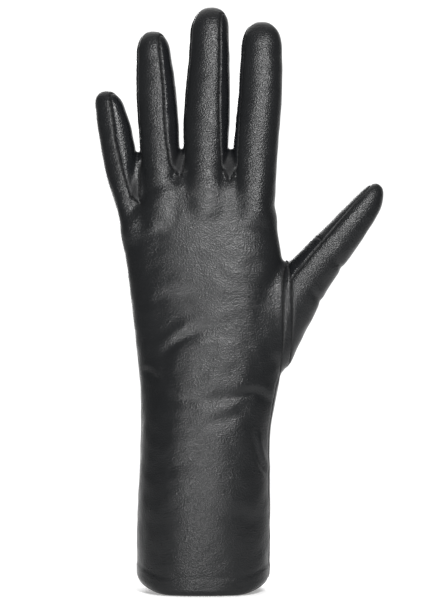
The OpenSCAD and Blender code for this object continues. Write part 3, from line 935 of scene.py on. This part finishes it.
class GLOVE_OT_leather(bpy.types.Operator):
    """Makes the sewn leather panels of the glove"""
    bl_idname = "glove.leather"
    bl_label = "Leather panels"

    def execute(self, context):
        sizes, colors = context.scene.glove_sizes, context.scene.glove_colors
        step = sizes.mesh_step / MM * 1
        points, tris = skin_mesh(0.0, step)
        fixed = None
        snap = SNAP * step
        seams = [strip(k) for k in range(3)] + [thumb_hole, side, thumb_side, gusset]
        for function in seams:
            points, tris, fixed = cut(points, tris, function, snap=snap, fixed=fixed)
        for function in seams:
            for offset in (-SEAM_EDGE, SEAM_EDGE):
                points, tris, fixed = cut(points, tris, function, offset, snap=SEAM_SNAP, fixed=fixed)
        for function in SPLITS + (hem_line,):
            points, tris, fixed = cut(points, tris, function, snap=snap, fixed=fixed)
        tris = tris[hem_line(points[tris].mean(1)) > 0]
        normal = normals_of(points, tris)
        move, seam = pressed(points, normal)
        outer = points + move[:, None] * normal
        inner = outer - normals_of(outer, tris) * (sizes.leather / MM)
        middle = points[tris].mean(1)
        zone, panel = zone_of(middle), panel_of(middle)
        main = nappa("black nappa leather", colors.leather, sizes.roughness, sizes.grain)
        strips = nappa("black nappa side strips", colors.strips, sizes.roughness - 0.05, sizes.grain * 0.8)
        for z in range(len(ZONES)):
            for k in range(len(PANELS)):
                here = tris[(zone == z) & (panel == k)]
                if len(here) < FEWEST_TRIANGLES:
                    continue
                narrow = PANELS[k].startswith("strip") or PANELS[k] == "gusset"
                name = f"{ZONES[z]}_{PANELS[k]}_leather"
                piece = shell_piece(name, outer, inner, here, strips if narrow else main, {"seam": seam})
                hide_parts(*stands_for(z, k))
                bend(piece, z)
        sew(points, outer, normal, zone_of(points), sizes, sewing_thread(colors.thread))
        return {"FINISHED"}


def spaced(points, pitch):
    """Some of the points, in order of height, none nearer to another than the pitch."""
    kept = []
    for i in np.argsort(points[:, 2]):
        if all(np.linalg.norm(points[i] - points[j]) >= pitch for j in kept[-40:]):
            kept.append(i)
    return np.array(kept, int)


BEAD_SIDES = 6


def bead(center, along, across, up, length, width):
    """One stitch: a small lozenge with rounded ends."""
    points, n = [center - along * length / 2], BEAD_SIDES
    for f in (-0.3, 0.0, 0.3):
        r = width / 2 * math.sqrt(1 - (f / 0.5) ** 2)
        points += [center + along * length * f + r * (math.cos(a) * across + math.sin(a) * up)
                   for a in np.arange(n) * 2 * math.pi / n]
    points.append(center + along * length / 2)
    faces = [(0, 1 + (k + 1) % n, 1 + k) for k in range(n)]
    for row in (0, 1):
        a = 1 + row * n
        faces += [(a + k, a + (k + 1) % n, a + n + (k + 1) % n, a + n + k) for k in range(n)]
    a = 1 + 2 * n
    return points, faces + [(a + k, a + (k + 1) % n, a + n) for k in range(n)]


THREAD, STITCH_SHARE, SUNK = 0.34, 0.55, 0.05      # thickness, part of the pitch that shows, depth
ABOVE_HEM = 2


def sew(points, outer, normal, zone, sizes, material):
    """Lays stitches along the seams, one object for each zone."""
    pitch = sizes.stitch_pitch / MM
    stitches = {}
    for function, sewn, _ in seams_of(points):
        on_line = np.abs(function(points)) < 0.02
        on = np.flatnonzero(on_line & (sewn > 0.6) & (hem_line(points) > ABOVE_HEM))
        on = on[spaced(points[on], pitch)]
        _, way = along_skin(function, points[on], normal[on])
        for i, across in zip(on, way):
            along = unit(np.cross(normal[i], across))
            center = outer[i] - normal[i] * SUNK
            stitches.setdefault(int(zone[i]), []).append(
                bead(center, along, across, normal[i], pitch * STITCH_SHARE, THREAD))
    for z, beads in stitches.items():
        all_points, all_faces = [], []
        for bead_points, bead_faces in beads:
            all_faces += [tuple(k + len(all_points) for k in face) for face in bead_faces]
            all_points += bead_points
        obj = new_object(f"{ZONES[z]}_stitches", all_points, all_faces, material)
        bend(obj, z)


LINING_GAP = 0.7                       # space between the leather and the lining
LINING_STEP, LINING_SNAP = 2.4, 0.4    # side of its triangles, and how near a cut its points move onto it
LINING_START = 0.8                     # height of its lower edge, as a share of the hem's


class GLOVE_OT_lining(bpy.types.Operator):
    """Makes the knitted lining inside the leather"""
    bl_idname = "glove.lining"
    bl_label = "Lining"

    def execute(self, context):
        sizes, colors = context.scene.glove_sizes, context.scene.glove_colors
        level = -(sizes.leather / MM + LINING_GAP)
        start = sizes.hem_height / MM * LINING_START
        points, tris = skin_mesh(level, LINING_STEP)
        fixed = None
        for function in SPLITS + (thumb_hole, lambda p: hem_line(p) - start):
            points, tris, fixed = cut(points, tris, function, snap=LINING_SNAP, level=level, fixed=fixed)
        tris = tris[hem_line(points[tris].mean(1)) > start]
        normal = normals_of(points, tris)
        inner = points - normal * (sizes.lining / MM)
        zone = zone_of(points[tris].mean(1))
        material = knit_lining(colors.lining)
        for z, name in enumerate(ZONES):
            piece = shell_piece(f"{name}_knit_lining", points, inner, tris[zone == z], material, {})
            nodes = {"cuff": ["cuff_lining", "hand_lining"], "knuckle": ["knuckle_lining"]}
            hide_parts(*nodes.get(name, [f"{name}_lining"]))
            bend(piece, z)
        return {"FINISHED"}


HEM_COLUMNS = 240
HEM_STEPS = 10
HEM_EDGE, HEM_ROUND, HEM_BACK, HEM_THICK = 0.9, 0.7, 1.9, 0.6      # inwards from the outside of the cuff


class GLOVE_OT_hem(bpy.types.Operator):
    """Turns the leather in at the mouth of the cuff"""
    bl_idname = "glove.hem"
    bl_label = "Turned hem"

    def execute(self, context):
        sizes, colors = context.scene.glove_sizes, context.scene.glove_colors
        columns = HEM_COLUMNS
        height = sizes.hem_height / MM
        inside = HEM_BACK + HEM_THICK
        loop = [(HEM_EDGE + HEM_ROUND * (1 - math.cos(a)), 1 - math.sin(a))
                for a in np.linspace(0, math.pi, HEM_STEPS + 1)]
        loop += [(HEM_BACK, height * share) for share in (0.3, 0.5, 0.7, 0.9, 1.0)]
        loop += [(inside, height * share) for share in (1.0, 0.8, 0.5, 0.3)]
        loop += [(inside, 1.6), (1.6, 1.2), (1.1, 1.3)]
        angle = np.linspace(0, 2 * math.pi, columns, endpoint=False)
        power = 2 / TRUNK.fullness
        across = np.sign(np.cos(angle)) * np.abs(np.cos(angle)) ** power
        deep = np.sign(np.sin(angle)) * np.abs(np.sin(angle)) ** power
        rings = []
        for inset, up in loop:
            cx, w, d, _ = TRUNK.section(np.full(columns, up))
            x, y = cx + (w - inset) * across, (d - inset) * deep
            rise = -hem_line(np.stack([x, y, np.zeros(columns)], 1))
            rings.append(np.stack([x, y, up + rise], 1))
        n, m = columns, len(rings)
        faces = [(r * n + c, r * n + (c + 1) % n, (r + 1) % m * n + (c + 1) % n, (r + 1) % m * n + c)
                 for r in range(m) for c in range(n)]
        material = nappa("black nappa hem", colors.leather, sizes.roughness, sizes.grain)
        hem = new_object("cuff_turned_hem", np.vstack(rings), faces, material, {"seam": np.zeros(n * m)}, 80)
        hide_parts("cuff_hem")
        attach(hem, "cuff")
        return {"FINISHED"}


FLOOR_RADIUS = 520.0
FLOOR_DROP = -0.4
FLOOR_SIDES = 180
ROOM = {"From Min": 0.35, "From Max": 0.88, "To Min": 0.2, "To Max": 1.15}
# name, place, height of its aim above the middle of the glove, width and height, watts
LIGHTS = (
    ("upper softbox", (0.20, -0.92, 0.68), 0.05, (0.28, 0.34), 13.0),
    ("lower softbox", (-0.12, -0.95, -0.06), 0, (0.34, 0.34), 10.8),
    ("front fill", (0.05, -0.95, 0.20), 0.05, (0.5, 0.66), 0.9),
    ("top softbox", (-0.1, 0.25, 1.0), 0, (0.9, 0.9), 3),
    ("palm softbox", (-0.3, 1.1, 0.5), 0, (0.5, 0.7), 7),
)
CAMERA_AWAY, CAMERA_HEIGHT, SENSOR = 0.85, 0.1, 24
FRAME_HEIGHT, FRAME_MIDDLE = 0.312, (0.0078, 0.1508)


class GLOVE_OT_stage(bpy.types.Operator):
    """Sets out the floor, the lights and the camera"""
    bl_idname = "glove.stage"
    bl_label = "Stage"

    def execute(self, context):
        scene = context.scene
        around = np.linspace(0, 2 * math.pi, FLOOR_SIDES, endpoint=False)
        rim = [(FLOOR_RADIUS * math.cos(a), FLOOR_RADIUS * math.sin(a), FLOOR_DROP) for a in around]
        floor = new_object("studio_floor", rim, [range(len(rim))], studio_floor())
        world = bpy.data.worlds.new("soft white room")
        world.use_nodes = True
        world.node_tree.nodes["Background"].inputs["Color"].default_value = (1, 1, 1, 1)
        self.room(world.node_tree)
        scene.world = world
        low, high = (np.array(v) for v in CAD_BOX)
        middle = (low + high) / 2
        for name, place, aim, size, power in LIGHTS:
            self.light(name, place, middle + (0, 0, aim), size, power)
        self.camera(scene)
        scene.view_settings.view_transform = "Standard"
        return {"FINISHED"}

    def room(self, tree):
        """White all round behind the glove and greyer in front of it."""
        place = tree.nodes.new("ShaderNodeTexCoord")
        split = tree.nodes.new("ShaderNodeSeparateXYZ")
        ramp = tree.nodes.new("ShaderNodeMapRange")
        tree.links.new(place.outputs["Generated"], split.inputs[0])
        tree.links.new(split.outputs["Y"], ramp.inputs["Value"])
        for key, value in ROOM.items():
            ramp.inputs[key].default_value = value
        tree.links.new(ramp.outputs["Result"], tree.nodes["Background"].inputs["Strength"])

    def light(self, name, place, target, size, power):
        data = bpy.data.lights.new(name, "AREA")
        data.shape = "RECTANGLE"
        data.size, data.size_y = size
        data.energy = power
        lamp = bpy.data.objects.new(name, data)
        lamp.location = place
        way = np.array(target) - np.array(place)
        lamp.rotation_euler = Vector(way).to_track_quat("-Z", "Y").to_euler()
        bpy.context.scene.collection.objects.link(lamp)

    def camera(self, scene):
        data = bpy.data.cameras.new("camera")
        data.sensor_fit = "VERTICAL"
        data.sensor_height = SENSOR
        data.lens = SENSOR * CAMERA_AWAY / FRAME_HEIGHT
        data.shift_y = (FRAME_MIDDLE[1] - CAMERA_HEIGHT) / FRAME_HEIGHT
        camera = bpy.data.objects.new("camera", data)
        camera.location = (FRAME_MIDDLE[0], -CAMERA_AWAY, CAMERA_HEIGHT)
        camera.rotation_euler = (math.pi / 2, 0, 0)
        scene.collection.objects.link(camera)
        scene.camera = camera


class GLOVE_PT_panel(bpy.types.Panel):
    bl_idname = "GLOVE_PT_panel"
    bl_label = "Leather Glove"
    bl_space_type = "VIEW_3D"
    bl_region_type = "UI"
    bl_category = "Glove"

    def draw(self, context):
        for group in (context.scene.glove_sizes, context.scene.glove_colors):
            for key in group.bl_rna.properties.keys():
                if key not in ("rna_type", "name"):
                    self.layout.prop(group, key)
        for operator in OPERATORS:
            self.layout.operator(operator.bl_idname)


OPERATORS = (GLOVE_OT_leather, GLOVE_OT_lining, GLOVE_OT_hem, GLOVE_OT_stage)
CLASSES = (GloveSizes, GloveColors) + OPERATORS + (GLOVE_PT_panel,)


def register():
    for cls in CLASSES:
        bpy.utils.register_class(cls)
    bpy.types.Scene.glove_sizes = bpy.props.PointerProperty(type=GloveSizes)
    bpy.types.Scene.glove_colors = bpy.props.PointerProperty(type=GloveColors)


def unregister():
    del bpy.types.Scene.glove_sizes
    del bpy.types.Scene.glove_colors
    for cls in reversed(CLASSES):
        bpy.utils.unregister_class(cls)


def main():
    register()
    bpy.ops.glove.stage()
    bpy.ops.glove.leather()
    bpy.ops.glove.lining()
    bpy.ops.glove.hem()
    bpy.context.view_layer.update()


if __name__ == "__main__":
    main()
